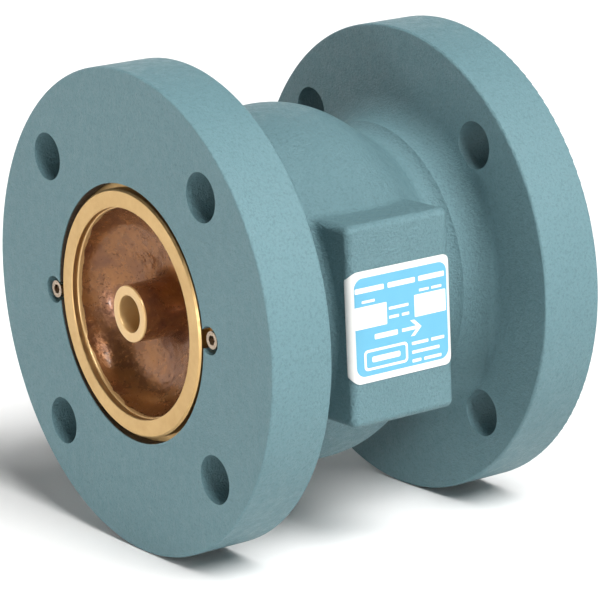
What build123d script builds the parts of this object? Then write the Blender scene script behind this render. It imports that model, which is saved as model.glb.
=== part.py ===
"""Flanged globe style silent check valve: iron body, bronze seat and spring loaded disc.

The flow runs along +Y, +Z is up, and the origin is the centre of the inlet flange face.
Every revolved profile is drawn in the XY plane, with X as the radius and Y along the flow.
"""

import os
from math import cos, hypot, radians, sin, sqrt, tan

from build123d import *

# ---------------------------------------------------------------- driving dimensions (mm)

# Flanges, 3 inch class 125 drilling
FLANGE_RADIUS = 95.25
FLANGE_THICKNESS = 26.5
FACE_TO_FACE = 154.0
BOLT_CIRCLE_RADIUS = 76.2
BOLT_HOLE_RADIUS = 9.525
BOLT_COUNT = 4
FLANGE_EDGE_ROUND = 0.8

# Globe and neck, outside
GLOBE_RADIUS = 71.3
GLOBE_CENTRE_Y = 72.0
GLOBE_FRONT_CURVE = 115.0
GLOBE_REAR_CURVE = 40.0
CONE_ANGLE = 34.0
NECK_RADIUS = 52.0
NECK_CREASE_RADIUS = 57.5
NECK_ROOT_ROUND = 7.0
OUTLET_ROOT_ROUND = 10.0
INLET_ROOT_ROUND = 6.0
WALL = 8.0

# Side pads
PAD_FACE_X = 80.0
PAD_LENGTH = 47.6
PAD_HEIGHT = 78.0
PAD_CENTRE_Y = 70.2
PAD_ROUND = 3.0
PAD_FACE_ROUND = 2.9
PAD_ROOT_ROUND = 5.0

# Bores
INLET_BORE_RADIUS = 50.8
SEAT_SHOULDER_Y = 9.0
SPIGOT_BORE_RADIUS = 48.6
PASSAGE_FRONT_CURVE = 127.0
OUTLET_BORE_RADIUS = 40.0

# Outlet spider
SPIDER_HUB_RADIUS = 17.0
SPIDER_FRONT_Y = 104.0
SPIDER_BACK_Y = 126.0
RIB_FRONT_Y = 108.0
RIB_THICKNESS = 6.0
RIB_COUNT = 3
RIB_REACH = 47.0

# Seat ring
SEAT_BORE_RADIUS = 41.3
SEAT_BAND = 2.2
SEAT_RELIEF_RADIUS = 45.2
SEAT_FACE_RADIUS = 48.5
SEAT_FACE_CHAMFER = 0.8
SEAT_EDGE_CHAMFER = 0.3
SHOULDER_TOP_Y = 5.2
SHOULDER_BOTTOM_Y = 8.0
SHOULDER_RADIUS = 50.7
SPIGOT_RADIUS = 48.4
SEAT_END_Y = 12.0

# Lugs of the seat ring, their pockets and screws
LUG_CENTRE_RADIUS = 54.8
LUG_RADIUS = 5.2
LUG_NECK_WIDTH = 6.8
LUG_NECK_START_RADIUS = 46.5
POCKET_RADIUS = 5.5
POCKET_CLEARANCE = 0.05
SCREW_RADIUS = 2.08
SCREW_HEAD_RADIUS = 3.43
SCREW_HEAD_HEIGHT = 4.1
SCREW_LENGTH = 12.7
SCREW_HOLE_DEPTH = 13.7
HEX_ACROSS_FLATS = 3.57
HEX_DEPTH = 2.2
SCREW_HOLE_CLEARANCE = 0.17
THREAD_CLEARANCE = 0.05

# Disc
SEAT_GAP = 0.2
DISC_FRONT_RADIUS = 41.2
DISC_RADIUS = 44.5
DISC_RIM_BACK_Y = 9.0
BOWL_OPENING_RADIUS = 40.9
BOWL_FLAT_RADIUS = 16.5
BOWL_FLOOR_Y = 22.0
DISC_WALL = 5.0
BACK_LAND_RADIUS = 19.0
HUB_TIP_RADIUS = 11.1
HUB_ROOT_RADIUS = 11.8
HUB_BORE_RADIUS = 7.25
HUB_ROOT_ROUND = 4.5
HUB_FACE_Y = 0.05
BOSS_RADIUS = 11.5
BOSS_LENGTH = 9.0

# Stem, pin, bushing
STEM_RADIUS = 6.35
STEM_START_Y = 17.0
STEM_END_Y = 128.0
STEM_CHAMFER = 1.0
STEM_RUNNING_CLEARANCE = 0.06
PIN_RADIUS = 1.5
PIN_RECESS = 0.3
BUSHING_RADIUS = 9.5
BUSHING_CHAMFER = 0.5

# Spring and its washer
SPRING_WIRE_RADIUS = 1.3
SPRING_MEAN_RADIUS = 13.6
SPRING_TURNS = 8
WASHER_THICKNESS = 1.2
WASHER_RADIUS = 16.0
SPRING_END_GAP = 0.05

# Gasket
GASKET_CLEARANCE = 0.1

# Label
LABEL_THICKNESS = 0.25
LABEL_HEIGHT = 43.0
LABEL_REAR_WRAP = 50.0
LABEL_CORNER_RADIUS = 4.0
LABEL_GAP = 0.02

# ---------------------------------------------------------------- derived places

outlet_face_y = FACE_TO_FACE - FLANGE_THICKNESS
disc_front_y = SEAT_BAND + SEAT_GAP - (SEAT_BORE_RADIUS - DISC_FRONT_RADIUS)
disc_cone_end_y = disc_front_y + DISC_RADIUS - DISC_FRONT_RADIUS
disc_back_y = BOWL_FLOOR_Y + DISC_WALL
boss_end_y = disc_back_y + BOSS_LENGTH
pin_y = disc_back_y + BOSS_LENGTH / 2
washer_front_y = SPIDER_FRONT_Y - WASHER_THICKNESS
spring_start_y = disc_back_y + SPRING_END_GAP
spring_end_y = washer_front_y - SPRING_END_GAP


def save(piece, name):
    """Label a finished piece and write it as its own STEP file."""
    piece.label = name
    export_step(piece, f"parts/{name}.step")


def globe_profile(radius, front_curve, rear_curve, front_y):
    """Return the start, the line pieces and the end of the globe's wall as one chain.

    The wall swells on a large arc from front_y to the globe's widest point, rounds over
    on a small arc and then narrows as a straight cone, which the caller carries on.
    """
    fall = front_curve - sqrt(front_curve**2 - (GLOBE_CENTRE_Y - front_y) ** 2)
    start = (radius - fall, front_y)
    widest = (radius, GLOBE_CENTRE_Y)
    shoulder = (
        radius - rear_curve * (1 - cos(radians(CONE_ANGLE))),
        GLOBE_CENTRE_Y + rear_curve * sin(radians(CONE_ANGLE)),
    )
    RadiusArc(start, widest, -front_curve)
    RadiusArc(widest, shoulder, -rear_curve)
    return start, shoulder


def cone_reach(shoulder, radius):
    """Return the point where the cone that leaves the shoulder reaches a radius."""
    return (radius, shoulder[1] + (shoulder[0] - radius) / tan(radians(CONE_ANGLE)))


def corner(sketch, point):
    """Return the sketch corner that is nearest to a point."""
    return sketch.vertices().sort_by_distance(Vector(*point))[0]


os.makedirs("parts", exist_ok=True)

# ---------------------------------------------------------------- iron casting

# The casting is drawn whole and then parted at two planes, where its flanges' hubs end
inlet_hub_y = FLANGE_THICKNESS + INLET_ROOT_ROUND
crease_y = outlet_face_y - OUTLET_ROOT_ROUND

with BuildPart() as casting:
    with BuildSketch(Plane.XY) as outside:
        with BuildLine():
            root, shoulder = globe_profile(
                GLOBE_RADIUS, GLOBE_FRONT_CURVE, GLOBE_REAR_CURVE, FLANGE_THICKNESS
            )
            neck = cone_reach(shoulder, NECK_RADIUS)
            Polyline(shoulder, neck, (NECK_CREASE_RADIUS, crease_y))
            RadiusArc(
                (NECK_CREASE_RADIUS, crease_y),
                (NECK_CREASE_RADIUS + OUTLET_ROOT_ROUND, outlet_face_y),
                OUTLET_ROOT_ROUND,
            )
            Polyline(
                (NECK_CREASE_RADIUS + OUTLET_ROOT_ROUND, outlet_face_y),
                (FLANGE_RADIUS, outlet_face_y),
                (FLANGE_RADIUS, FACE_TO_FACE),
                (0, FACE_TO_FACE),
                (0, 0),
                (FLANGE_RADIUS, 0),
                (FLANGE_RADIUS, FLANGE_THICKNESS),
                root,
            )
        make_face()
        fillet(corner(outside, neck), NECK_ROOT_ROUND)
        fillet(corner(outside, root), INLET_ROOT_ROUND)
        rims = [
            corner(outside, (FLANGE_RADIUS, y))
            for y in (0, FLANGE_THICKNESS, outlet_face_y, FACE_TO_FACE)
        ]
        fillet(rims, FLANGE_EDGE_ROUND)
    revolve(axis=Axis.Y)

    # Rectangular pads on both sides, rounded and blended into the globe
    with BuildSketch(Plane.XZ.offset(-PAD_CENTRE_Y)):
        Rectangle(2 * PAD_FACE_X, PAD_HEIGHT)
    extrude(amount=PAD_LENGTH / 2, both=True)
    corner_edges = casting.edges().filter_by(Axis.X).filter_by(
        lambda edge: abs(edge.center().Z) > PAD_HEIGHT / 3
        and abs(edge.center().Y - PAD_CENTRE_Y) <= PAD_LENGTH
    )
    fillet(corner_edges, PAD_ROUND)
    pad_rims = casting.faces().filter_by(Axis.X).filter_by(
        lambda face: abs(abs(face.center().X) - PAD_FACE_X) < PAD_ROUND
    ).edges()
    fillet(pad_rims, PAD_FACE_ROUND)
    globe_seams = casting.edges().filter_by(
        lambda edge: GLOBE_RADIUS / 2 < abs(edge.center().X) < GLOBE_RADIUS
        and abs(edge.center().Y - PAD_CENTRE_Y) <= PAD_LENGTH / 2
        and all(hypot(v.X, v.Z) <= GLOBE_RADIUS for v in edge.vertices())
    )
    fillet(globe_seams, PAD_ROOT_ROUND)

    # Flow passage
    with BuildSketch(Plane.XY) as passage:
        with BuildLine():
            curve_centre_radius = GLOBE_RADIUS - WALL - PASSAGE_FRONT_CURVE
            spigot_end_y = GLOBE_CENTRE_Y - sqrt(
                PASSAGE_FRONT_CURVE**2 - (SPIGOT_BORE_RADIUS - curve_centre_radius) ** 2
            )
            start, end = globe_profile(
                GLOBE_RADIUS - WALL,
                PASSAGE_FRONT_CURVE,
                GLOBE_REAR_CURVE - WALL,
                spigot_end_y,
            )
            throat = cone_reach(end, OUTLET_BORE_RADIUS)
            Polyline(
                end,
                throat,
                (OUTLET_BORE_RADIUS, FACE_TO_FACE),
                (0, FACE_TO_FACE),
                (0, 0),
                (INLET_BORE_RADIUS, 0),
                (INLET_BORE_RADIUS, SEAT_SHOULDER_Y),
                (SPIGOT_BORE_RADIUS, SEAT_SHOULDER_Y),
                start,
            )
        make_face()
    revolve(axis=Axis.Y, mode=Mode.SUBTRACT)

    # Bolt holes in both flanges
    for face_y in (0, outlet_face_y):
        with BuildSketch(Plane.XZ.offset(-face_y)):
            with PolarLocations(BOLT_CIRCLE_RADIUS, BOLT_COUNT, start_angle=45):
                Circle(BOLT_HOLE_RADIUS)
        extrude(amount=-FLANGE_THICKNESS, mode=Mode.SUBTRACT)

    # Lug pockets and tapped holes beside the inlet bore
    with BuildSketch(Plane.XZ):
        with PolarLocations(LUG_CENTRE_RADIUS, 2):
            Circle(POCKET_RADIUS)
    extrude(amount=-(SHOULDER_BOTTOM_Y + POCKET_CLEARANCE), mode=Mode.SUBTRACT)
    with BuildSketch(Plane.XZ):
        with PolarLocations(LUG_CENTRE_RADIUS, 2):
            Circle(SCREW_RADIUS + THREAD_CLEARANCE)
    extrude(amount=-(SHOULDER_TOP_Y + SCREW_HOLE_DEPTH), mode=Mode.SUBTRACT)

inlet_parting = Plane.XZ.offset(-inlet_hub_y)
outlet_parting = Plane.XZ.offset(-crease_y)

with BuildPart() as inlet_flange:
    add(casting.part)
    split(bisect_by=inlet_parting, keep=Keep.TOP)
save(inlet_flange.part, "inlet_flange")

with BuildPart() as body:
    add(casting.part)
    split(bisect_by=inlet_parting, keep=Keep.BOTTOM)
    split(bisect_by=outlet_parting, keep=Keep.TOP)
save(body.part, "body")

with BuildPart() as outlet_flange:
    add(casting.part)
    split(bisect_by=outlet_parting, keep=Keep.BOTTOM)
save(outlet_flange.part, "outlet_flange")

# ---------------------------------------------------------------- outlet spider

# Three ribs fill the passage's width and carry the hub that holds the stem's bushing
with BuildPart() as guide_spider:
    with BuildSketch(Plane.XZ.offset(-SPIDER_FRONT_Y)):
        Circle(SPIDER_HUB_RADIUS)
    extrude(amount=-(SPIDER_BACK_Y - SPIDER_FRONT_Y))
    with BuildSketch(Plane.XZ.offset(-RIB_FRONT_Y)):
        with PolarLocations(RIB_REACH / 2, RIB_COUNT, start_angle=90):
            Rectangle(RIB_REACH, RIB_THICKNESS)
    extrude(amount=-(SPIDER_BACK_Y - RIB_FRONT_Y))
    revolve(passage.sketch, axis=Axis.Y, mode=Mode.INTERSECT)
    with BuildSketch(Plane.XZ.offset(-SPIDER_FRONT_Y)):
        Circle(BUSHING_RADIUS)
    extrude(amount=-(SPIDER_BACK_Y - SPIDER_FRONT_Y), mode=Mode.SUBTRACT)
save(guide_spider.part, "guide_spider")

# ---------------------------------------------------------------- seat ring

with BuildPart() as seat_ring:
    with BuildSketch(Plane.XY) as section:
        with BuildLine():
            Polyline(
                (SEAT_BORE_RADIUS, 0),
                (SEAT_FACE_RADIUS, 0),
                (SEAT_FACE_RADIUS, SHOULDER_TOP_Y),
                (SHOULDER_RADIUS, SHOULDER_TOP_Y),
                (SHOULDER_RADIUS, SHOULDER_BOTTOM_Y),
                (SPIGOT_RADIUS, SHOULDER_BOTTOM_Y),
                (SPIGOT_RADIUS, SEAT_END_Y),
                (SEAT_RELIEF_RADIUS, SEAT_END_Y),
                (SEAT_RELIEF_RADIUS, SEAT_BAND + SEAT_RELIEF_RADIUS - SEAT_BORE_RADIUS),
                (SEAT_BORE_RADIUS, SEAT_BAND),
                close=True,
            )
        make_face()
        chamfer(corner(section, (SEAT_FACE_RADIUS, 0)), SEAT_FACE_CHAMFER)
        chamfer(corner(section, (SEAT_BORE_RADIUS, 0)), SEAT_EDGE_CHAMFER)
    revolve(axis=Axis.Y)
    with BuildSketch(Plane.XZ.offset(-SHOULDER_TOP_Y)):
        with PolarLocations(LUG_CENTRE_RADIUS, 2):
            Circle(LUG_RADIUS)
        with PolarLocations((LUG_CENTRE_RADIUS + LUG_NECK_START_RADIUS) / 2, 2):
            Rectangle(LUG_CENTRE_RADIUS - LUG_NECK_START_RADIUS, LUG_NECK_WIDTH)
    extrude(amount=-(SHOULDER_BOTTOM_Y - SHOULDER_TOP_Y))
    with BuildSketch(Plane.XZ.offset(-SHOULDER_TOP_Y)):
        with PolarLocations(LUG_CENTRE_RADIUS, 2):
            Circle(SCREW_RADIUS + SCREW_HOLE_CLEARANCE)
    extrude(amount=-(SHOULDER_BOTTOM_Y - SHOULDER_TOP_Y), mode=Mode.SUBTRACT)
save(seat_ring.part, "seat_ring")

# ---------------------------------------------------------------- seat gasket

with BuildPart() as seat_gasket:
    with BuildSketch(Plane.XZ.offset(-SHOULDER_BOTTOM_Y)):
        Circle(INLET_BORE_RADIUS - GASKET_CLEARANCE)
        Circle(SPIGOT_RADIUS + GASKET_CLEARANCE, mode=Mode.SUBTRACT)
    extrude(amount=-(SEAT_SHOULDER_Y - SHOULDER_BOTTOM_Y))
save(seat_gasket.part, "seat_gasket")

# ---------------------------------------------------------------- seat screws

with BuildPart() as seat_screws:
    head_plane = Plane.XZ.offset(-(SHOULDER_TOP_Y - SCREW_HEAD_HEIGHT))
    with BuildSketch(head_plane):
        with PolarLocations(LUG_CENTRE_RADIUS, 2):
            Circle(SCREW_HEAD_RADIUS)
    extrude(amount=-SCREW_HEAD_HEIGHT)
    with BuildSketch(Plane.XZ.offset(-SHOULDER_TOP_Y)):
        with PolarLocations(LUG_CENTRE_RADIUS, 2):
            Circle(SCREW_RADIUS)
    extrude(amount=-SCREW_LENGTH)
    with BuildSketch(head_plane):
        with PolarLocations(LUG_CENTRE_RADIUS, 2):
            RegularPolygon(HEX_ACROSS_FLATS / 2, 6, major_radius=False)
    extrude(amount=-HEX_DEPTH, mode=Mode.SUBTRACT)
save(seat_screws.part, "seat_screws")

# ---------------------------------------------------------------- disc

with BuildPart() as disc:
    with BuildSketch(Plane.XY) as dish:
        with BuildLine():
            EllipticalCenterArc(
                (BOWL_FLAT_RADIUS, disc_front_y),
                BOWL_OPENING_RADIUS - BOWL_FLAT_RADIUS,
                BOWL_FLOOR_Y - disc_front_y,
                start_angle=0,
                arc_size=90,
            )
            Polyline(
                (BOWL_FLAT_RADIUS, BOWL_FLOOR_Y),
                (HUB_ROOT_RADIUS, BOWL_FLOOR_Y),
                (HUB_TIP_RADIUS, HUB_FACE_Y),
                (HUB_BORE_RADIUS, HUB_FACE_Y),
                (HUB_BORE_RADIUS, STEM_START_Y),
                (STEM_RADIUS, STEM_START_Y),
                (STEM_RADIUS, boss_end_y),
                (BOSS_RADIUS, boss_end_y),
                (BOSS_RADIUS, disc_back_y),
                (BACK_LAND_RADIUS, disc_back_y),
            )
            EllipticalCenterArc(
                (BACK_LAND_RADIUS, DISC_RIM_BACK_Y),
                DISC_RADIUS - BACK_LAND_RADIUS,
                disc_back_y - DISC_RIM_BACK_Y,
                start_angle=0,
                arc_size=90,
            )
            Polyline(
                (DISC_RADIUS, DISC_RIM_BACK_Y),
                (DISC_RADIUS, disc_cone_end_y),
                (DISC_FRONT_RADIUS, disc_front_y),
                (BOWL_OPENING_RADIUS, disc_front_y),
            )
        make_face()
        fillet(corner(dish, (HUB_ROOT_RADIUS, BOWL_FLOOR_Y)), HUB_ROOT_ROUND)
    revolve(axis=Axis.Y)
    with BuildSketch(Plane.YZ):
        with Locations((pin_y, 0)):
            Circle(PIN_RADIUS)
    extrude(amount=2 * BOSS_RADIUS, both=True, mode=Mode.SUBTRACT)
save(disc.part, "disc")

# ---------------------------------------------------------------- stem and its pin

with BuildPart() as stem:
    with BuildSketch(Plane.XZ.offset(-STEM_START_Y)):
        Circle(STEM_RADIUS)
    extrude(amount=-(STEM_END_Y - STEM_START_Y))
    chamfer(stem.edges().filter_by(GeomType.CIRCLE), STEM_CHAMFER)
    with BuildSketch(Plane.YZ):
        with Locations((pin_y, 0)):
            Circle(PIN_RADIUS)
    extrude(amount=2 * STEM_RADIUS, both=True, mode=Mode.SUBTRACT)
save(stem.part, "stem")

with BuildPart() as stem_pin:
    with BuildSketch(Plane.YZ):
        with Locations((pin_y, 0)):
            Circle(PIN_RADIUS)
    extrude(amount=BOSS_RADIUS - PIN_RECESS, both=True)
save(stem_pin.part, "stem_pin")

# ---------------------------------------------------------------- guide bushing

with BuildPart() as guide_bushing:
    with BuildSketch(Plane.XZ.offset(-SPIDER_FRONT_Y)):
        Circle(BUSHING_RADIUS)
        Circle(STEM_RADIUS + STEM_RUNNING_CLEARANCE, mode=Mode.SUBTRACT)
    extrude(amount=-(SPIDER_BACK_Y - SPIDER_FRONT_Y))
    outer_rims = guide_bushing.edges().filter_by(GeomType.CIRCLE).sort_by(SortBy.RADIUS)[-2:]
    chamfer(outer_rims, BUSHING_CHAMFER)
save(guide_bushing.part, "guide_bushing")

# ---------------------------------------------------------------- spring and its washer

with BuildPart() as spring_washer:
    with BuildSketch(Plane.XZ.offset(-washer_front_y)):
        Circle(WASHER_RADIUS)
        Circle(BUSHING_RADIUS, mode=Mode.SUBTRACT)
    extrude(amount=-WASHER_THICKNESS)
save(spring_washer.part, "spring_washer")

spring_length = spring_end_y - spring_start_y

with BuildPart() as disc_spring:
    with BuildLine() as wire_path:
        Helix(
            pitch=spring_length / SPRING_TURNS,
            height=spring_length,
            radius=SPRING_MEAN_RADIUS,
            center=(0, spring_start_y, 0),
            direction=(0, 1, 0),
        )
    with BuildSketch(Plane(wire_path.line @ 0, z_dir=wire_path.line % 0)):
        Circle(SPRING_WIRE_RADIUS)
    sweep(is_frenet=True)
    # Grind both ends flat
    for end_y, side in ((spring_start_y, -1), (spring_end_y, 1)):
        with BuildSketch(Plane.XZ.offset(-end_y)):
            Circle(SPRING_MEAN_RADIUS + 2 * SPRING_WIRE_RADIUS)
        extrude(amount=-side * 2 * SPRING_WIRE_RADIUS, mode=Mode.SUBTRACT)
save(disc_spring.part, "disc_spring")

# ---------------------------------------------------------------- name label

# The label lies on the +X pad and turns over both of the pad's upright edges
label_centres = (
    (PAD_FACE_X - PAD_FACE_ROUND, PAD_CENTRE_Y - PAD_LENGTH / 2 + PAD_FACE_ROUND),
    (PAD_FACE_X - PAD_FACE_ROUND, PAD_CENTRE_Y + PAD_LENGTH / 2 - PAD_FACE_ROUND),
)
label_inside = PAD_FACE_ROUND + LABEL_GAP
label_outside = label_inside + LABEL_THICKNESS
label_start_y = label_centres[0][1] - label_outside
label_end_y = label_centres[1][1] + label_outside * sin(radians(LABEL_REAR_WRAP))


def round_edge(centre, radius, angle):
    """Return the point at an angle from +X on a circle about an edge's centre."""
    return (
        centre[0] + radius * cos(radians(angle)),
        centre[1] + radius * sin(radians(angle)),
    )


with BuildPart() as name_label:
    with BuildSketch(Plane.XY):
        with BuildLine():
            for radius in (label_inside, label_outside):
                CenterArc(label_centres[0], radius, -90, 90)
                Line(*[round_edge(centre, radius, 0) for centre in label_centres])
                CenterArc(label_centres[1], radius, 0, LABEL_REAR_WRAP)
            for centre, angle in zip(label_centres, (-90, LABEL_REAR_WRAP)):
                Line(*[round_edge(centre, r, angle) for r in (label_inside, label_outside)])
        make_face()
    extrude(amount=LABEL_HEIGHT / 2, both=True)
    with BuildSketch(Plane.YZ.offset(PAD_FACE_X - 2 * PAD_FACE_ROUND)):
        with Locations(((label_start_y + label_end_y) / 2, 0)):
            RectangleRounded(label_end_y - label_start_y, LABEL_HEIGHT, LABEL_CORNER_RADIUS)
    extrude(amount=3 * PAD_FACE_ROUND, mode=Mode.INTERSECT)
save(name_label.part, "name_label")
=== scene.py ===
"""Looks of a flanged globe style silent check valve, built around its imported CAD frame.

Everything is in metres in the CAD frame: +Y is the flow, +Z is up, and the origin is the
centre of the inlet flange face.
"""

from math import cos, hypot, radians, sin, tau

import bmesh
import bpy
from mathutils import Matrix, Vector, noise


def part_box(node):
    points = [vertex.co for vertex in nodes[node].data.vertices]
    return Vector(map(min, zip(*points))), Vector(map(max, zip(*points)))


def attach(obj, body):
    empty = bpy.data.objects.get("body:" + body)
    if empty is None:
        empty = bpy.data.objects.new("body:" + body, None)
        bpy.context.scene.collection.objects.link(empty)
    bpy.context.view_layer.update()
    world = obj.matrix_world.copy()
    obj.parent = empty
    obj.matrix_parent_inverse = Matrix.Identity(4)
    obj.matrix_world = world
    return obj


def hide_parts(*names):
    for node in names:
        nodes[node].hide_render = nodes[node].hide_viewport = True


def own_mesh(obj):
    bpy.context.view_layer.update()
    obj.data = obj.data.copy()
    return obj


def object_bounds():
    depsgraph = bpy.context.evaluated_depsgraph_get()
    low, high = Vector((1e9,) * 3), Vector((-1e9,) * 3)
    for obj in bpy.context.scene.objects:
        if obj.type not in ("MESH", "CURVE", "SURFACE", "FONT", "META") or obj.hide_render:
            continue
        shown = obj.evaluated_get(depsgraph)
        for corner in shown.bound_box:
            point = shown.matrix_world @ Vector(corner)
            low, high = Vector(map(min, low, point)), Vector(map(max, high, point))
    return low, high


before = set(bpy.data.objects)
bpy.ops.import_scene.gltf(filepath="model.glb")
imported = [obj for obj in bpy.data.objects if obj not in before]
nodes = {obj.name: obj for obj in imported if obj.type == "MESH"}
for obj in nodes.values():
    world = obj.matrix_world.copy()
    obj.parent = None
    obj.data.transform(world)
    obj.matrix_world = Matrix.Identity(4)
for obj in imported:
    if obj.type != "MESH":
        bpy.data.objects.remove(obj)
cad_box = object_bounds()
MM = 0.001

CASTING = ("body", "inlet_flange", "outlet_flange", "guide_spider")

# ---------------------------------------------------------------- sizes read from the frame

FLANGE_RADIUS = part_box("inlet_flange")[1].z
OUTLET_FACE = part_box("outlet_flange")[1].y
disc_low, disc_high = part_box("disc")
spring_low, spring_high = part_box("disc_spring")
label_low, label_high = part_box("name_label")

# ---------------------------------------------------------------- where the finishes meet

FACE_SKIN = 0.5 * MM
INLET_BORE_RADIUS = 50.8 * MM
SEAT_SHOULDER = 9.0 * MM
HOLLOW_RADIUS = 64.0 * MM
HUB_TURNED_LENGTH = 0.9 * MM
HUB_TURNED_RADIUS = 7.7 * MM
RIM_TURNED_RADIUS = 40.8 * MM
TOOL_MARK_PITCH = 0.35 * MM


# ---------------------------------------------------------------- shader building blocks


class Shader:
    """A node material with one principled shader and short calls for the usual nodes."""

    def __init__(self, name, **sockets):
        self.material = bpy.data.materials.new(name)
        self.material.use_nodes = True
        self.tree = self.material.node_tree
        self.principled = self.tree.nodes["Principled BSDF"]
        for socket, value in sockets.items():
            self.principled.inputs[socket.replace("_", " ")].default_value = value
        self.position = self.node("ShaderNodeTexCoord").outputs["Object"]

    def node(self, kind, settings=(), **inputs):
        """Adds a node, sets its properties and connects or fills its named inputs."""
        made = self.tree.nodes.new(kind)
        for name, value in dict(settings).items():
            setattr(made, name, value)
        for name, value in inputs.items():
            self.feed(made.inputs[name.replace("_", " ")], value)
        return made

    def feed(self, socket, value):
        """Connects an output to a socket, or writes a plain value into it."""
        if isinstance(value, bpy.types.NodeSocket):
            self.tree.links.new(value, socket)
        else:
            socket.default_value = value

    def drive(self, socket, value):
        """Connects an output to a socket of the principled shader."""
        self.feed(self.principled.inputs[socket], value)

    def math(self, operation, first, second=0.0, clamp=False):
        """Returns the result of one scalar operation."""
        made = self.node("ShaderNodeMath", {"operation": operation, "use_clamp": clamp})
        self.feed(made.inputs[0], first)
        self.feed(made.inputs[1], second)
        return made.outputs[0]

    def noise(self, scale, detail=4.0, roughness=0.55, where=None):
        """Returns a noise value between 0 and 1; scale is in cells per metre."""
        made = self.node(
            "ShaderNodeTexNoise",
            Vector=where or self.position,
            Scale=scale,
            Detail=detail,
            Roughness=roughness,
        )
        return made.outputs["Fac"]

    def fade(self, value, low, high, start=0.0, end=1.0):
        """Returns value mapped smoothly from low..high to start..end."""
        made = self.node("ShaderNodeMapRange", {"interpolation_type": "SMOOTHSTEP"})
        self.feed(made.inputs["Value"], value)
        made.inputs["From Min"].default_value = low
        made.inputs["From Max"].default_value = high
        made.inputs["To Min"].default_value = start
        made.inputs["To Max"].default_value = end
        return made.outputs["Result"]

    def mix(self, share, first, second):
        """Returns the mix of two colours."""
        made = self.node("ShaderNodeMix", {"data_type": "RGBA"})
        self.feed(made.inputs[0], share)
        self.feed(made.inputs[6], first)
        self.feed(made.inputs[7], second)
        return made.outputs[2]

    def blend(self, share, first, second):
        """Returns the mix of two numbers."""
        made = self.node("ShaderNodeMix", {"data_type": "FLOAT"})
        self.feed(made.inputs[0], share)
        self.feed(made.inputs[2], first)
        self.feed(made.inputs[3], second)
        return made.outputs[0]

    def axial(self):
        """Returns the place along the flow and the point's offset from the flow's axis."""
        parts = self.node("ShaderNodeSeparateXYZ", Vector=self.position)
        across = self.node("ShaderNodeCombineXYZ", X=parts.outputs["X"], Z=parts.outputs["Z"])
        return parts.outputs["Y"], across.outputs[0]

    def length(self, offset):
        """Returns the length of a vector."""
        made = self.node("ShaderNodeVectorMath", {"operation": "LENGTH"})
        self.feed(made.inputs[0], offset)
        return made.outputs["Value"]

    def faces_axis(self, across):
        """Returns 1 where the surface faces the flow's axis and 0 elsewhere."""
        normal = self.node("ShaderNodeNewGeometry").outputs["True Normal"]
        outward = self.node("ShaderNodeVectorMath", {"operation": "DOT_PRODUCT"})
        self.feed(outward.inputs[0], normal)
        self.feed(outward.inputs[1], across)
        return self.math("LESS_THAN", outward.outputs["Value"], -1 * MM)

    def all_of(self, first, *others):
        """Returns 1 where every mask is 1."""
        for other in others:
            first = self.math("MULTIPLY", first, other)
        return first

    def any_of(self, first, *others):
        """Returns 1 where at least one mask is 1."""
        for other in others:
            first = self.math("MAXIMUM", first, other)
        return first

    def bump(self, height, depth, strength):
        """Feeds a height between 0 and 1, depth metres deep, to the shader's normal."""
        made = self.node("ShaderNodeBump", Height=height, Distance=depth, Strength=strength)
        self.drive("Normal", made.outputs["Normal"])


def colour(red, green, blue):
    """Returns a display colour (0 to 255) as the linear colour that a shader takes."""
    linear = []
    for level in (red, green, blue):
        share = level / 255
        linear.append(share / 12.92 if share <= 0.04045 else ((share + 0.055) / 1.055) ** 2.4)
    return (*linear, 1.0)


# ---------------------------------------------------------------- materials


def painted_iron():
    """Blue-grey paint over cast iron, smoother on the turned flanges, bare in the passage."""
    paint = Shader("painted_iron", Specular_IOR_Level=0.3)
    along, across = paint.axial()
    radius = paint.length(across)
    cloud = paint.noise(28, 3.0)
    speckle = paint.noise(900, 5.0, 0.7)
    base = paint.mix(cloud, colour(90, 121, 127), colour(97, 128, 134))
    base = paint.mix(paint.fade(speckle, 0.45, 0.7, 0.0, 0.6), base, colour(74, 101, 108))
    iron = paint.mix(paint.noise(160, 6.0), colour(46, 42, 38), colour(84, 66, 52))
    inside = passage_mask(paint, along, across, radius)
    paint.drive("Base Color", paint.mix(inside, base, iron))
    paint.drive("Roughness", paint.fade(paint.noise(240, 4.0), 0.3, 0.7, 0.42, 0.6))
    turned = paint.any_of(
        paint.math("GREATER_THAN", radius, FLANGE_RADIUS - 2 * FACE_SKIN),
        paint.math("LESS_THAN", along, FACE_SKIN),
        paint.math("GREATER_THAN", along, OUTLET_FACE - FACE_SKIN),
    )
    skin = paint.noise(520, 6.0, 0.7)
    pits = paint.noise(1500, 3.0, 0.6)
    rough_skin = paint.math("ADD", skin, paint.math("MULTIPLY", pits, 0.5))
    height = paint.math("MULTIPLY", rough_skin, paint.blend(turned, 1.0, 0.5))
    paint.bump(height, 1.2 * MM, 0.8)
    return paint.material


def passage_mask(paint, along, across, radius):
    """Returns 1 inside the casting: in its bores, and on the globe's wall behind the seat."""
    bores = paint.all_of(
        paint.math("LESS_THAN", radius, INLET_BORE_RADIUS + 0.4 * FACE_SKIN),
        paint.math("GREATER_THAN", along, FACE_SKIN),
        paint.math("LESS_THAN", along, OUTLET_FACE - FACE_SKIN),
    )
    hollow = paint.all_of(
        paint.faces_axis(across),
        paint.math("LESS_THAN", radius, HOLLOW_RADIUS),
        paint.math("GREATER_THAN", along, SEAT_SHOULDER),
        paint.math("LESS_THAN", along, OUTLET_FACE - FACE_SKIN),
    )
    return paint.any_of(bores, hollow)


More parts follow.
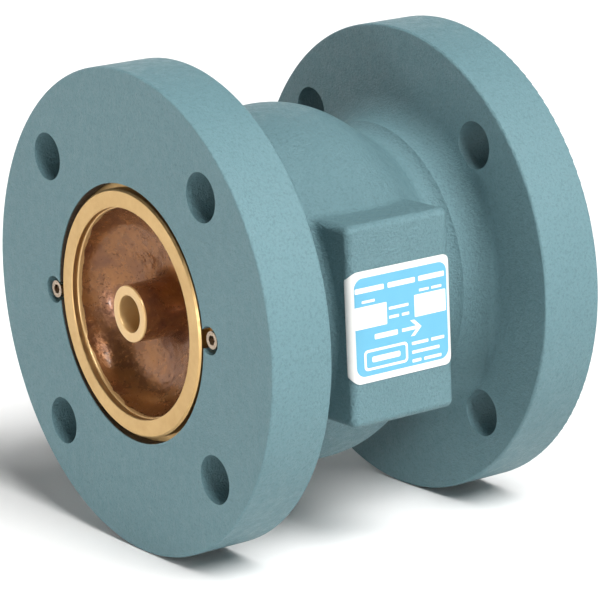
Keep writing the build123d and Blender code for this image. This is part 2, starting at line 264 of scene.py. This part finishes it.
def machined_bronze(name="machined_bronze"):
    """Turned bronze, whose concentric tool marks stretch its highlights across them."""
    metal = Shader(name, Metallic=1.0, Anisotropic=0.45)
    radius = metal.length(metal.axial()[1])
    turning = metal.node("ShaderNodeTangent", {"direction_type": "RADIAL", "axis": "Y"})
    metal.drive("Tangent", turning.outputs["Tangent"])
    rings = metal.math("SINE", metal.math("MULTIPLY", radius, tau / TOOL_MARK_PITCH))
    stain = metal.noise(70, 5.0)
    metal.drive("Base Color", metal.mix(stain, colour(180, 145, 94), colour(210, 178, 126)))
    metal.drive("Roughness", metal.fade(metal.noise(400, 4.0), 0.3, 0.7, 0.34, 0.48))
    metal.bump(metal.math("ADD", rings, metal.noise(1500, 3.0)), 0.01 * MM, 0.5)
    return metal.material


def disc_bronze():
    """Glossy cast brown bronze, turned bright at the hub's tip, in its bore and on the rim."""
    metal = Shader("disc_bronze", Metallic=0.6, Coat_Weight=0.3, Coat_Roughness=0.16)
    along, across = metal.axial()
    radius = metal.length(across)
    turned = metal.any_of(
        metal.math("LESS_THAN", along, HUB_TURNED_LENGTH),
        metal.math("LESS_THAN", radius, HUB_TURNED_RADIUS),
        metal.math("GREATER_THAN", radius, RIM_TURNED_RADIUS),
    )
    streaks = metal.noise(55, 6.0, 0.7)
    skin = metal.noise(420, 8.0, 0.7)
    cast = metal.mix(metal.fade(streaks, 0.3, 0.7), colour(100, 62, 44), colour(152, 102, 56))
    cast = metal.mix(metal.fade(skin, 0.6, 0.75, 0.0, 0.5), cast, colour(206, 152, 96))
    bright = metal.mix(streaks, colour(196, 156, 102), colour(222, 190, 136))
    metal.drive("Base Color", metal.mix(turned, cast, bright))
    gloss = metal.fade(streaks, 0.3, 0.7, 0.2, 0.32)
    metal.drive("Roughness", metal.blend(turned, gloss, 0.4))
    waves = metal.noise(130, 3.0)
    grains = metal.fade(metal.noise(700, 2.0), 0.62, 0.75, 0.0, 0.3)
    skin_and_grains = metal.math("ADD", metal.math("MULTIPLY", skin, 0.2), grains)
    height = metal.math("ADD", metal.math("MULTIPLY", waves, 0.5), skin_and_grains)
    metal.bump(metal.math("MULTIPLY", height, metal.blend(turned, 1.0, 0.02)), 1.2 * MM, 0.6)
    return metal.material


def stainless(name):
    """Bright stainless steel with fine scratches."""
    metal = Shader(name, Metallic=1.0)
    scratch = metal.noise(900, 5.0, 0.7)
    metal.drive("Base Color", metal.mix(scratch, colour(168, 168, 166), colour(214, 213, 210)))
    metal.drive("Roughness", metal.fade(scratch, 0.3, 0.7, 0.18, 0.34))
    metal.bump(scratch, 0.03 * MM, 0.5)
    return metal.material


def screw_steel():
    """Dull steel of the small screws, tinted warm as a painted reflection of the bronze round
    them.
    """
    metal = Shader("screw_steel", Metallic=1.0)
    scratch = metal.noise(1200, 5.0, 0.7)
    # The warm brown end of this mix is a painted reflection of the surrounding bronze.
    metal.drive("Base Color", metal.mix(scratch, colour(126, 108, 92), colour(196, 180, 160)))
    metal.drive("Roughness", metal.fade(scratch, 0.3, 0.7, 0.2, 0.4))
    metal.bump(scratch, 0.05 * MM, 0.6)
    return metal.material


def gasket_fibre():
    """Dark fibre sheet."""
    fibre = Shader("gasket_fibre")
    grain = fibre.noise(1400, 4.0)
    fibre.drive("Base Color", fibre.mix(grain, colour(30, 28, 27), colour(58, 52, 47)))
    fibre.drive("Roughness", fibre.fade(grain, 0.3, 0.7, 0.75, 0.92))
    fibre.bump(grain, 0.1 * MM, 0.6)
    return fibre.material


def label_print(name, first, second):
    """Print on thin foil, with a faint unevenness and a slight sheen."""
    ink = Shader(name, Specular_IOR_Level=0.5)
    patch = ink.noise(120, 4.0)
    ink.drive("Base Color", ink.mix(patch, colour(*first), colour(*second)))
    ink.drive("Roughness", ink.fade(patch, 0.3, 0.7, 0.3, 0.42))
    ink.bump(ink.noise(700, 3.0), 0.04 * MM, 0.4)
    return ink.material


def floor_paper():
    """Plain pale studio paper."""
    paper = Shader("floor_paper", Roughness=0.9)
    cloud = paper.noise(3, 2.0)
    paper.drive("Base Color", paper.mix(cloud, colour(228, 228, 227), colour(232, 232, 231)))
    return paper.material


# ---------------------------------------------------------------- mesh helpers


def add_object(name, mesh_data):
    """Links a new object with the given mesh."""
    piece = bpy.data.objects.new(name, mesh_data)
    bpy.context.scene.collection.objects.link(piece)
    return piece


def join_rings(mesh, near, far):
    """Adds a band of faces between two closed rings of vertices."""
    for k, (first, second) in enumerate(zip(near, far)):
        follow = (k + 1) % len(near)
        mesh.faces.new((first, near[follow], far[follow], second))


def finish_mesh(name, mesh, material, smooth=True):
    """Writes a bmesh to a new object and gives it a material."""
    bmesh.ops.recalc_face_normals(mesh, faces=mesh.faces)
    data = bpy.data.meshes.new(name)
    mesh.to_mesh(data)
    mesh.free()
    for face in data.polygons:
        face.use_smooth = smooth
    data.materials.append(material)
    return add_object(name, data)


def place(piece, body, slot, *replaced):
    """Makes a piece ride on a body and hides the CAD nodes that it replaces; slot is not used."""
    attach(piece, body)
    if replaced:
        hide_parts(*replaced)
    return piece


def wear(node, material):
    """Gives a CAD node its material."""
    data = nodes[node].data
    data.materials.clear()
    data.materials.append(material)


# ---------------------------------------------------------------- CAD nodes' finishes


def finish_cad_nodes():
    """Gives every CAD node its own finish."""
    steel = stainless("spring_steel")
    iron = painted_iron()
    for node in CASTING:
        wear(node, iron)
    wear("seat_ring", machined_bronze())
    wear("guide_bushing", machined_bronze("bushing_bronze"))
    wear("seat_gasket", gasket_fibre())
    wear("seat_screws", screw_steel())
    wear("stem", stainless("stem_steel"))
    wear("stem_pin", steel)
    wear("spring_washer", steel)
    wear("disc_spring", steel)
    wear("disc", disc_bronze())
    wear("name_label", label_print("label_foil", (206, 206, 203), (218, 218, 215)))


# ---------------------------------------------------------------- disc

DISC_RADIUS = disc_high.x
DISC_FRONT = 2.3 * MM
DISC_FRONT_RADIUS = 41.2 * MM
DISC_RIM_BACK = 9.0 * MM
BOWL_MOUTH_RADIUS = 40.9 * MM
BOWL_FLAT_RADIUS = 16.5 * MM
BOWL_FLOOR = 22.0 * MM
DISC_BACK = 27.0 * MM
BACK_LAND_RADIUS = 19.0 * MM
BOSS_RADIUS = 11.5 * MM
HUB_TIP_RADIUS = 11.1 * MM
HUB_ROOT_RADIUS = 11.8 * MM
HUB_ROOT_ROUND = 4.5 * MM
HUB_BORE_RADIUS = 7.25 * MM
STEM_RADIUS = 6.35 * MM
STEM_START = 17.0 * MM
TIP_ROUND = 0.4 * MM
BOWL_STEPS = 60
DISC_FACETS = 256

SCAR_CENTRE = Vector((-20 * MM, 20.7 * MM, 14.3 * MM))
SCAR_WIDTH = 7 * MM
SCAR_HEIGHT = 4 * MM


def arc(centre, reach, depth, first, last, steps):
    """Returns points of an ellipse arc, as radius and place along the flow."""
    points = []
    for step in range(steps + 1):
        angle = radians(first + (last - first) * step / steps)
        points.append((centre[0] + reach * cos(angle), centre[1] + depth * sin(angle)))
    return points


def straight(start, end, steps):
    """Returns evenly spaced points from start to end, without the start itself."""
    return [
        (
            start[0] + (end[0] - start[0]) * step / steps,
            start[1] + (end[1] - start[1]) * step / steps,
        )
        for step in range(1, steps + 1)
    ]


def disc_outline():
    """Returns the disc's closed section and, point by point, how rough its casting is."""
    sections = []

    def add(points, rough):
        sections.extend((point, rough) for point in points)

    bowl_reach = BOWL_MOUTH_RADIUS - BOWL_FLAT_RADIUS
    add([(BOWL_MOUTH_RADIUS, DISC_FRONT)], 0.0)
    bowl_depth = BOWL_FLOOR - DISC_FRONT
    add(arc((BOWL_FLAT_RADIUS, DISC_FRONT), bowl_reach, bowl_depth, 3, 90, BOWL_STEPS), 1.0)
    root = (HUB_ROOT_RADIUS + HUB_ROOT_ROUND, BOWL_FLOOR - HUB_ROOT_ROUND)
    add(arc(root, HUB_ROOT_ROUND, HUB_ROOT_ROUND, 90, 180, 10), 1.0)
    tip_start = (HUB_TIP_RADIUS, disc_low.y + TIP_ROUND)
    add(straight((HUB_ROOT_RADIUS, root[1]), tip_start, 26), 0.8)
    tip_corner = (HUB_TIP_RADIUS - TIP_ROUND, disc_low.y + TIP_ROUND)
    add(arc(tip_corner, TIP_ROUND, TIP_ROUND, -15, -90, 3), 0.0)
    bore_corner = (HUB_BORE_RADIUS + TIP_ROUND, disc_low.y + TIP_ROUND)
    add(arc(bore_corner, TIP_ROUND, TIP_ROUND, -90, -180, 3), 0.0)
    bore = straight((HUB_BORE_RADIUS, bore_corner[1]), (HUB_BORE_RADIUS, STEM_START), 8)
    add(bore, 0.0)
    socket = straight((STEM_RADIUS, STEM_START), (STEM_RADIUS, disc_high.y), 4)
    add([(STEM_RADIUS, STEM_START), *socket], 0.0)
    add([(BOSS_RADIUS, disc_high.y), (BOSS_RADIUS, DISC_BACK), (BACK_LAND_RADIUS, DISC_BACK)], 0.0)
    back_centre = (BACK_LAND_RADIUS, DISC_RIM_BACK)
    back_reach = DISC_RADIUS - BACK_LAND_RADIUS
    add(arc(back_centre, back_reach, DISC_BACK - DISC_RIM_BACK, 86, 8, 24), 0.6)
    cone_end = DISC_FRONT + DISC_RADIUS - DISC_FRONT_RADIUS
    add([(DISC_RADIUS, DISC_RIM_BACK), (DISC_RADIUS, cone_end)], 0.0)
    add([(DISC_FRONT_RADIUS, DISC_FRONT)], 0.0)
    return sections


def cast_skin(spot):
    """Returns how far the casting stands proud at a point: broad waves and fine grain."""
    broad = noise.fractal(spot * 160, 1.0, 2.0, 4) * 0.10 * MM
    fine = noise.noise(spot * 900) * 0.03 * MM
    return broad + fine


def gate_scar(spot):
    """Returns the height of the rough scar that the casting's gate left above the hub."""
    offset = spot - SCAR_CENTRE
    distance = hypot(offset.x / SCAR_WIDTH, offset.z / SCAR_HEIGHT)
    if distance >= 1.0 or spot.y < DISC_FRONT:
        return 0.0
    ridge = abs(noise.fractal(spot * 420, 0.8, 2.1, 4))
    return (1.0 - distance**2) * ridge * 1.6 * MM


def make_disc():
    """The poppet: a cast bowl with a tubular hub, turned at the hub's tip and the rim."""
    outline = disc_outline()
    mesh = bmesh.new()
    rows = []
    count = len(outline)
    for index, ((radius, along), rough) in enumerate(outline):
        before = outline[index - 1][0]
        after = outline[(index + 1) % count][0]
        tangent = Vector((after[0] - before[0], after[1] - before[1])).normalized()
        normal = Vector((tangent.y, -tangent.x))
        row = []
        for k in range(DISC_FACETS):
            angle = tau * k / DISC_FACETS
            spot = Vector((radius * cos(angle), along, radius * sin(angle)))
            scar = gate_scar(spot) if index < BOWL_STEPS else 0.0
            lift = rough * cast_skin(spot) + scar if rough else 0.0
            reach = radius + normal.x * lift
            place_along = along + normal.y * lift
            row.append(mesh.verts.new((reach * cos(angle), place_along, reach * sin(angle))))
        rows.append(row)
    for near, far in zip(rows, rows[1:] + rows[:1]):
        join_rings(mesh, near, far)
    disc = finish_mesh("poppet_disc", mesh, disc_bronze())
    place(disc, "poppet", "bronze", "disc")


# ---------------------------------------------------------------- spring

SPRING_WIRE_RADIUS = 1.3 * MM
SPRING_TURNS = 9
SPRING_DEAD_TURNS = 1.0
STEPS_PER_TURN = 48
WIRE_FACETS = 14


def make_spring():
    """A compression spring with closed, flat ground ends."""
    mean_radius = spring_high.x - SPRING_WIRE_RADIUS
    length = spring_high.y - spring_low.y
    dead_rise = SPRING_DEAD_TURNS * 2 * SPRING_WIRE_RADIUS
    live_turns = SPRING_TURNS - 2 * SPRING_DEAD_TURNS
    live_pitch = (length - 2 * dead_rise - SPRING_WIRE_RADIUS) / live_turns

    def rise(turn):
        """Returns how far along the spring the wire is after a number of turns."""
        first = min(turn, SPRING_DEAD_TURNS) * 2 * SPRING_WIRE_RADIUS
        live = min(max(turn - SPRING_DEAD_TURNS, 0), live_turns) * live_pitch
        last = max(turn - SPRING_DEAD_TURNS - live_turns, 0) * 2 * SPRING_WIRE_RADIUS
        return first + live + last + SPRING_WIRE_RADIUS / 2

    mesh = bmesh.new()
    rows = []
    for step in range(SPRING_TURNS * STEPS_PER_TURN + 1):
        turn = step / STEPS_PER_TURN
        angle = tau * turn
        outward = Vector((cos(angle), 0, sin(angle)))
        centre = outward * mean_radius + Vector((0, spring_low.y + rise(turn), 0))
        row = []
        for k in range(WIRE_FACETS):
            side = tau * k / WIRE_FACETS
            offset = outward * cos(side) + Vector((0, sin(side), 0))
            spot = centre + offset * SPRING_WIRE_RADIUS
            spot.y = min(max(spot.y, spring_low.y), spring_high.y)
            row.append(mesh.verts.new(spot))
        rows.append(row)
    for near, far in zip(rows, rows[1:]):
        join_rings(mesh, near, far)
    mesh.faces.new(rows[0][::-1])
    mesh.faces.new(rows[-1])
    spring = finish_mesh("poppet_spring", mesh, stainless("spring_wire"))
    place(spring, "valve_body", "stainless", "disc_spring")
    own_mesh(spring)


# ---------------------------------------------------------------- label print

LABEL_FRONT = label_high.x
LABEL_BEND = 3.17 * MM
LABEL_FLAT = (label_low.y + LABEL_BEND, 91.1 * MM)
INK_LAYER = 0.03 * MM
BEND_STEP = 0.25 * MM

# Printed areas, each as its ends along the flow and its bottom and top, in millimetres
FIELD = ((48.3, 91.5), (-18.9, 18.9))
FIELD_CORNER = 3.8 * MM
PANELS = {
    "size_panel": ((48.3, 63.0), (-0.5, 8.0)),
    "type_panel": ((76.0, 90.8), (-0.3, 8.2)),
}
RULES = (
    ((48.6, 62.0), (13.2, 15.2)),
    ((63.8, 76.6), (13.2, 15.2)),
    ((78.2, 90.4), (13.2, 15.2)),
    ((51.6, 57.6), (9.2, 10.2)),
    ((78.4, 83.0), (9.2, 10.2)),
    ((84.2, 89.0), (9.2, 10.2)),
    ((64.0, 73.2), (4.7, 5.8)),
    ((64.0, 68.6), (1.3, 2.4)),
    ((70.0, 73.4), (1.3, 2.4)),
    ((57.0, 67.8), (-5.4, -3.4)),
    ((74.2, 82.0), (-10.9, -9.7)),
    ((83.4, 89.6), (-10.9, -9.7)),
    ((74.2, 87.2), (-14.3, -13.1)),
    ((74.2, 78.4), (-17.7, -16.5)),
    ((79.8, 88.0), (-17.7, -16.5)),
)
BADGE = ((51.8, 72.2), (-16.9, -8.9))
BADGE_LINE = 1.0
BADGE_BAR = ((55.4, 68.6), (-14.0, -11.8))

ARROW_START, ARROW_TIP = 69.8 * MM, 79.0 * MM
ARROW_MIDDLE = -4.3 * MM
ARROW_HALF_WIDTH = 3.1 * MM
ARROW_HALF_STROKE = 0.65 * MM
ARROW_BARB = 3.3 * MM
ARROW_SLANT = 1.9 * MM


def area(along, up):
    """Returns the low and high corners, in metres, of an area given in millimetres."""
    return (along[0] * MM, up[0] * MM), (along[1] * MM, up[1] * MM)


def rounded_outline(low, high, radius, steps=8):
    """Returns the corner-rounded outline of a rectangle in (along, up) coordinates."""
    corners = (
        (high[0] - radius, high[1] - radius, 0),
        (low[0] + radius, high[1] - radius, 90),
        (low[0] + radius, low[1] + radius, 180),
        (high[0] - radius, low[1] + radius, 270),
    )
    points = []
    for along, up, first in corners:
        for step in range(steps + 1):
            angle = radians(first + 90 * step / steps)
            points.append((along + radius * cos(angle), up + radius * sin(angle)))
    return points


def on_label(along, up, lift):
    """Returns the place on the label, which turns over both upright edges of the pad.

    along is measured over the label's surface, and equals Y on its flat part.
    """
    bend = LABEL_BEND + lift
    before, beyond = LABEL_FLAT[0] - along, along - LABEL_FLAT[1]
    if max(before, beyond) <= 0:
        return Vector((LABEL_FRONT + lift, along, up))
    edge, side = (LABEL_FLAT[0], -1) if before > 0 else (LABEL_FLAT[1], 1)
    angle = max(before, beyond) / LABEL_BEND
    centre_x = LABEL_FRONT - LABEL_BEND
    return Vector((centre_x + bend * cos(angle), edge + side * bend * sin(angle), up))


def make_print(name, outline, level, material):
    """A printed shape that follows the label; level counts the layers of ink from the foil."""
    mesh = bmesh.new()
    mesh.faces.new([mesh.verts.new((along, up, 0)) for along, up in outline])
    first, last = min(point[0] for point in outline), max(point[0] for point in outline)
    cuts = []
    for edge, side, end in ((LABEL_FLAT[0], -1, first), (LABEL_FLAT[1], 1, last)):
        steps = int(max(side * (end - edge), 0) / BEND_STEP)
        cuts += [edge + side * step * BEND_STEP for step in range(steps + 1)]
    for cut in cuts:
        whole = mesh.verts[:] + mesh.edges[:] + mesh.faces[:]
        bmesh.ops.bisect_plane(mesh, geom=whole, plane_co=(cut, 0, 0), plane_no=(1, 0, 0))
    grown = bmesh.ops.extrude_face_region(mesh, geom=mesh.faces[:], use_keep_orig=True)
    outer = {item for item in grown["geom"] if isinstance(item, bmesh.types.BMVert)}
    for vertex in mesh.verts:
        lift = (level if vertex in outer else level - 1) * INK_LAYER
        vertex.co = on_label(vertex.co.x, vertex.co.y, lift)
    place(finish_mesh(name, mesh, material, smooth=False), "valve_body", "foil_label")


def print_bar(name, along_and_up, round_share, level, material):
    """A printed rectangle with rounded corners."""
    low, high = area(*along_and_up)
    radius = round_share * (high[1] - low[1])
    make_print(name, rounded_outline(low, high, radius, 4), level, material)


def make_label_print():
    """A blue field with blank white panels, plain ruled lines, a plain badge and an arrow."""
    blue = label_print("ink_blue", (86, 154, 182), (96, 162, 190))
    white = label_print("ink_white", (212, 215, 217), (222, 224, 225))
    make_print("label_field", rounded_outline(*area(*FIELD), FIELD_CORNER), 1, blue)
    for name, where in PANELS.items():
        print_bar(name, where, 0.04, 2, white)
    for index, where in enumerate(RULES, 1):
        print_bar(f"label_rule_{index}", where, 0.2, 2, white)
    print_bar("badge_frame", BADGE, 0.2, 2, white)
    (start, end), (bottom, top) = BADGE
    inner = (start + BADGE_LINE, end - BADGE_LINE), (bottom + BADGE_LINE, top - BADGE_LINE)
    print_bar("badge_field", inner, 0.15, 3, blue)
    print_bar("badge_bar", BADGE_BAR, 0.3, 4, white)
    make_print("flow_arrow", arrow_outline(), 2, white)


def arrow_outline():
    """Returns the outline of an arrow that points along the flow, with an open head."""
    inner_tip = ARROW_TIP - ARROW_SLANT - ARROW_HALF_STROKE
    upper = [
        (ARROW_TIP - ARROW_BARB, ARROW_HALF_WIDTH),
        (ARROW_TIP - ARROW_BARB - ARROW_SLANT, ARROW_HALF_WIDTH),
        (inner_tip, ARROW_HALF_STROKE),
        (ARROW_START, ARROW_HALF_STROKE),
    ]
    outline = [(ARROW_TIP, 0.0), *upper, *[(along, -up) for along, up in reversed(upper)]]
    return [(along, ARROW_MIDDLE + up) for along, up in outline]


# ---------------------------------------------------------------- stage, lights, camera


FLOOR_FLAT_REACH = 0.6
FLOOR_RISES = ((2.0, 0.0), (3.2, 0.05), (4.2, 0.35), (5.0, 1.0), (5.6, 2.2))
FLOOR_FACETS = 96


def add_floor():
    """A pale floor that rises gently far away on every side."""
    mesh = bmesh.new()
    rows = []
    for reach, rise in ((FLOOR_FLAT_REACH, 0.0), *FLOOR_RISES):
        row = []
        for k in range(FLOOR_FACETS):
            angle = tau * k / FLOOR_FACETS
            row.append(mesh.verts.new((reach * cos(angle), reach * sin(angle), rise)))
        rows.append(row)
    mesh.faces.new(rows[0])
    for near, far in zip(rows, rows[1:]):
        join_rings(mesh, near, far)
    floor = finish_mesh("floor", mesh, floor_paper())
    floor.location = (0, OUTLET_FACE / 2, cad_box[0].z)


ROOM_BRIGHTNESS = 0.03


def add_soft_light(name, direction, softness, power):
    """A far, wide lamp whose light comes from a direction; softness is its width in degrees."""
    data = bpy.data.lights.new(name, "SUN")
    data.energy = power
    data.angle = radians(softness)
    lamp = bpy.data.objects.new(name, data)
    bpy.context.scene.collection.objects.link(lamp)
    lamp.rotation_mode = "QUATERNION"
    lamp.rotation_quaternion = Vector(direction).normalized().to_track_quat("Z", "Y")


def add_small_lamp(name, place, width, power):
    """A small round lamp that is turned to the frame's origin, for sparkle in the bowl."""
    data = bpy.data.lights.new(name, "AREA")
    data.shape = "DISK"
    data.size = width
    data.energy = power
    lamp = bpy.data.objects.new(name, data)
    bpy.context.scene.collection.objects.link(lamp)
    lamp.visible_camera = False
    lamp.location = place
    lamp.rotation_mode = "QUATERNION"
    lamp.rotation_quaternion = place.to_track_quat("Z", "Y")


def add_lights():
    """A wide key from the upper right, a fill, a small low lamp and a dim white room."""
    add_soft_light("key", (0.64, 0.02, 0.76), 34, 5.8)
    add_soft_light("fill", (-0.6, -1.0, 0.25), 50, 1.15)
    add_small_lamp("sparkle", Vector((0.56, -0.8, -0.03)), 0.1, 1.8)
    world = bpy.data.worlds.new("studio")
    world.use_nodes = True
    background = world.node_tree.nodes["Background"]
    background.inputs["Color"].default_value = (1.0, 1.0, 1.0, 1.0)
    background.inputs["Strength"].default_value = ROOM_BRIGHTNESS
    bpy.context.scene.world = world
    bpy.context.scene.view_settings.view_transform = "Standard"


# The camera's place is given round its target: degrees from -Y towards +X, and above level
CAMERA_AZIMUTH = 55.0
CAMERA_ELEVATION = 14.24
CAMERA_ROLL = -2.52
CAMERA_DISTANCE = 1.2134
CAMERA_LENS_MM = 188.8
CAMERA_TARGET = Vector((0.02857, 0.060, -0.00016))


def add_camera():
    """A long lens at the right of the inlet flange, a little above the valve."""
    azimuth, elevation = radians(CAMERA_AZIMUTH), radians(CAMERA_ELEVATION)
    level = Vector((sin(azimuth), -cos(azimuth), 0))
    back = level * cos(elevation) + Vector((0, 0, sin(elevation)))
    data = bpy.data.cameras.new("camera")
    data.lens = CAMERA_LENS_MM
    data.clip_end = 100
    camera = bpy.data.objects.new("camera", data)
    bpy.context.scene.collection.objects.link(camera)
    camera.rotation_mode = "QUATERNION"
    camera.location = CAMERA_TARGET + back * CAMERA_DISTANCE
    roll = Matrix.Rotation(radians(CAMERA_ROLL), 4, "Z").to_quaternion()
    camera.rotation_quaternion = back.to_track_quat("Z", "Y") @ roll
    bpy.context.scene.camera = camera


finish_cad_nodes()
make_disc()
make_spring()
make_label_print()
add_floor()
add_lights()
add_camera()

bpy.context.view_layer.update()
